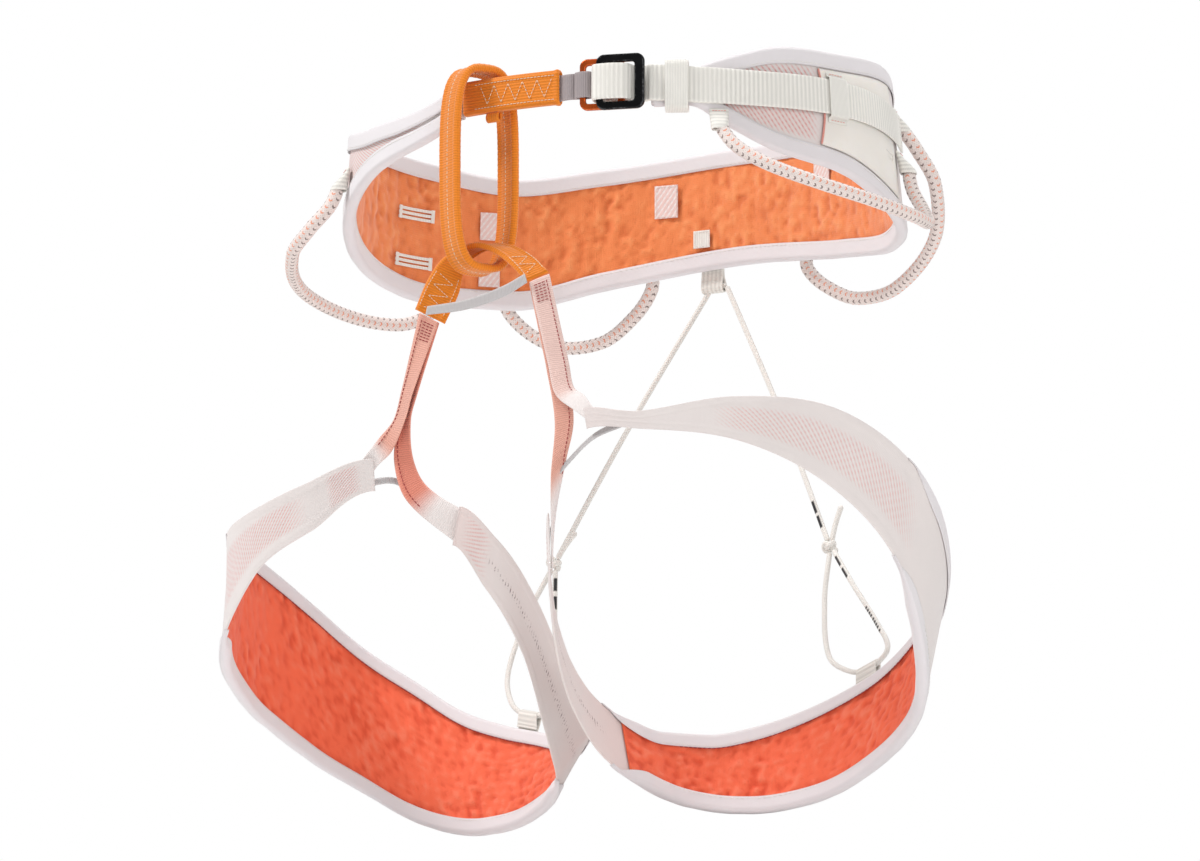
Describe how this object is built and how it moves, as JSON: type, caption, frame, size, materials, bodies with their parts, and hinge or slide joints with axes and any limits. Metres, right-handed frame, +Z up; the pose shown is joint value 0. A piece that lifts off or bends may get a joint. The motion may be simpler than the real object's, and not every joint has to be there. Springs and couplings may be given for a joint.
{
  "type": "climbing harness",
  "caption": "Light ski-mountaineering climbing harness: padded waist belt, threaded buckle, belay loop, gear loops and padded leg loops hung on webbing and elastic risers.",
  "frame": {"origin": "middle of the lumbar facet on the belt's inner lining, behind the wearer", "axes": "+X to the wearer's left, +Y to the wearer's back, +Z up along the standing wearer; the wearer faces -Y"},
  "size_m": [0.4093, 0.2533, 0.3692],
  "materials": {
    "orange_webbing": "woven nylon webbing with contrast stitching",
    "waist_lining_foam": "dimpled mesh over thin foam",
    "leg_lining_foam": "dimpled mesh over thin foam",
    "black_anodised": "black anodised",
    "bronze_anodised": "orange-bronze anodised",
    "grey_webbing": "woven load tape",
    "gear_cord": "braided sheath with flecks over a stiff core",
    "salmon_webbing": "soft folded webbing",
    "edge_binding": "folded woven binding tape",
    "shell_fabric": "thin woven shell with a mesh field",
    "elastic_cord": "thin braided elastic",
    "white_webbing": "ribbed woven webbing"
  },
  "bodies": {
    "waist": {"anchor_webbing": "grey_webbing", "buckle_base_frame": "bronze_anodised", "gear_tab_front_left_front": "white_webbing", "gear_tab_front_left_rear": "white_webbing", "gear_tab_front_right_front": "white_webbing", "gear_tab_front_right_rear": "white_webbing", "gear_tab_rear_left_front": "white_webbing", "gear_tab_rear_left_rear": "white_webbing", "gear_tab_rear_right_front": "white_webbing", "gear_tab_rear_right_rear": "white_webbing", "hip_panel_left": "white_webbing", "leg_bridge_elastic": "edge_binding", "lining_patch_left_front": "salmon_webbing", "lining_patch_left_rear": "salmon_webbing", "lining_patch_right_lower": "salmon_webbing", "lining_patch_right_upper": "salmon_webbing", "lower_tie_in": "orange_webbing", "rear_riser_patch": "white_webbing", "rear_riser_tab": "white_webbing", "riser_cord_left": "elastic_cord", "riser_cord_right": "elastic_cord", "strap_tunnel": "white_webbing", "tie_in_sleeve": "orange_webbing", "tool_slot_lower": "white_webbing", "tool_slot_upper": "white_webbing", "waist_binding_lower": "edge_binding", "waist_binding_upper": "edge_binding", "waist_lining": "waist_lining_foam", "waist_load_tape": "grey_webbing", "waist_outer_fabric": "shell_fabric", "waist_strap": "white_webbing"},
    "buckle_lock": {"buckle_locking_frame": "black_anodised"},
    "keeper": {"elastic_keeper": "white_webbing"},
    "belay": {"belay_loop": "orange_webbing"},
    "gear_front_left": {"gear_loop_front_left": "gear_cord"},
    "gear_front_right": {"gear_loop_front_right": "gear_cord"},
    "gear_rear_left": {"gear_loop_rear_left": "gear_cord"},
    "gear_rear_right": {"gear_loop_rear_right": "gear_cord"},
    "leg_left": {"leg_left_binding_lower": "edge_binding", "leg_left_binding_upper": "edge_binding", "leg_left_cross_elastic": "edge_binding", "leg_left_lining": "leg_lining_foam", "leg_left_outer_fabric": "shell_fabric", "leg_left_rear_tab": "white_webbing", "leg_left_strap_inner": "salmon_webbing", "leg_left_strap_outer": "salmon_webbing", "riser_loop_left": "elastic_cord", "riser_knot_left": "elastic_cord", "riser_tail_left": "elastic_cord"},
    "leg_right": {"leg_right_binding_lower": "edge_binding", "leg_right_binding_upper": "edge_binding", "leg_right_cross_elastic": "edge_binding", "leg_right_lining": "leg_lining_foam", "leg_right_outer_fabric": "shell_fabric", "leg_right_rear_tab": "white_webbing", "leg_right_strap_inner": "salmon_webbing", "leg_right_strap_outer": "salmon_webbing", "riser_loop_right": "elastic_cord", "riser_knot_right": "elastic_cord", "riser_tail_right": "elastic_cord"}
  },
  "joints": [
    {"name": "belay_loop_swing", "type": "hinge", "parent": "waist", "child": "belay", "pos_m": [-0.013, -0.21674, -0.021], "axis": [0, 0, 1], "range_deg": [-4, 30]},
    {"name": "leg_left_swing", "type": "hinge", "parent": "waist", "child": "leg_left", "pos_m": [0.0209, -0.21524, -0.079], "axis": [1, 0, 0], "range_deg": [-30, 20], "stiffness_Nm_per_rad": 2, "deforming": ["riser_cord_left"]},
    {"name": "leg_right_swing", "type": "hinge", "parent": "waist", "child": "leg_right", "pos_m": [-0.0425, -0.21624, -0.0915], "axis": [1, 0, 0], "range_deg": [-30, 20], "stiffness_Nm_per_rad": 2, "deforming": ["riser_cord_right"]},
    {"name": "gear_front_left_lift", "type": "hinge", "parent": "waist", "child": "gear_front_left", "pos_m": [0.11028, -0.18766, -0.0075], "axis": [-0.3046, -0.9514, 0.0452], "range_deg": [0, 40], "stiffness_Nm_per_rad": 0.05},
    {"name": "gear_rear_left_lift", "type": "hinge", "parent": "waist", "child": "gear_rear_left", "pos_m": [0.12447, -0.04087, 0.0165], "axis": [0.8073, -0.4391, 0.3942], "range_deg": [0, 40], "stiffness_Nm_per_rad": 0.05},
    {"name": "gear_front_right_lift", "type": "hinge", "parent": "waist", "child": "gear_front_right", "pos_m": [-0.1241, -0.17535, -0.008], "axis": [-0.1329, 0.9674, -0.2153], "range_deg": [0, 40], "stiffness_Nm_per_rad": 0.05},
    {"name": "gear_rear_right_lift", "type": "hinge", "parent": "waist", "child": "gear_rear_right", "pos_m": [-0.12062, -0.03513, 0.005], "axis": [0.8106, 0.4551, -0.3686], "range_deg": [0, 40], "stiffness_Nm_per_rad": 0.05},
    {"name": "keeper_slide", "type": "slide", "parent": "waist", "child": "keeper", "axis": [0.8618, 0.5073, 0], "range_m": [-0.003, 0.003]},
    {"name": "buckle_lock_tilt", "type": "hinge", "parent": "waist", "child": "buckle_lock", "pos_m": [0.05792, -0.2163, 0.0154], "axis": [0, 0, 1], "range_deg": [-2, 2]}
  ]
}
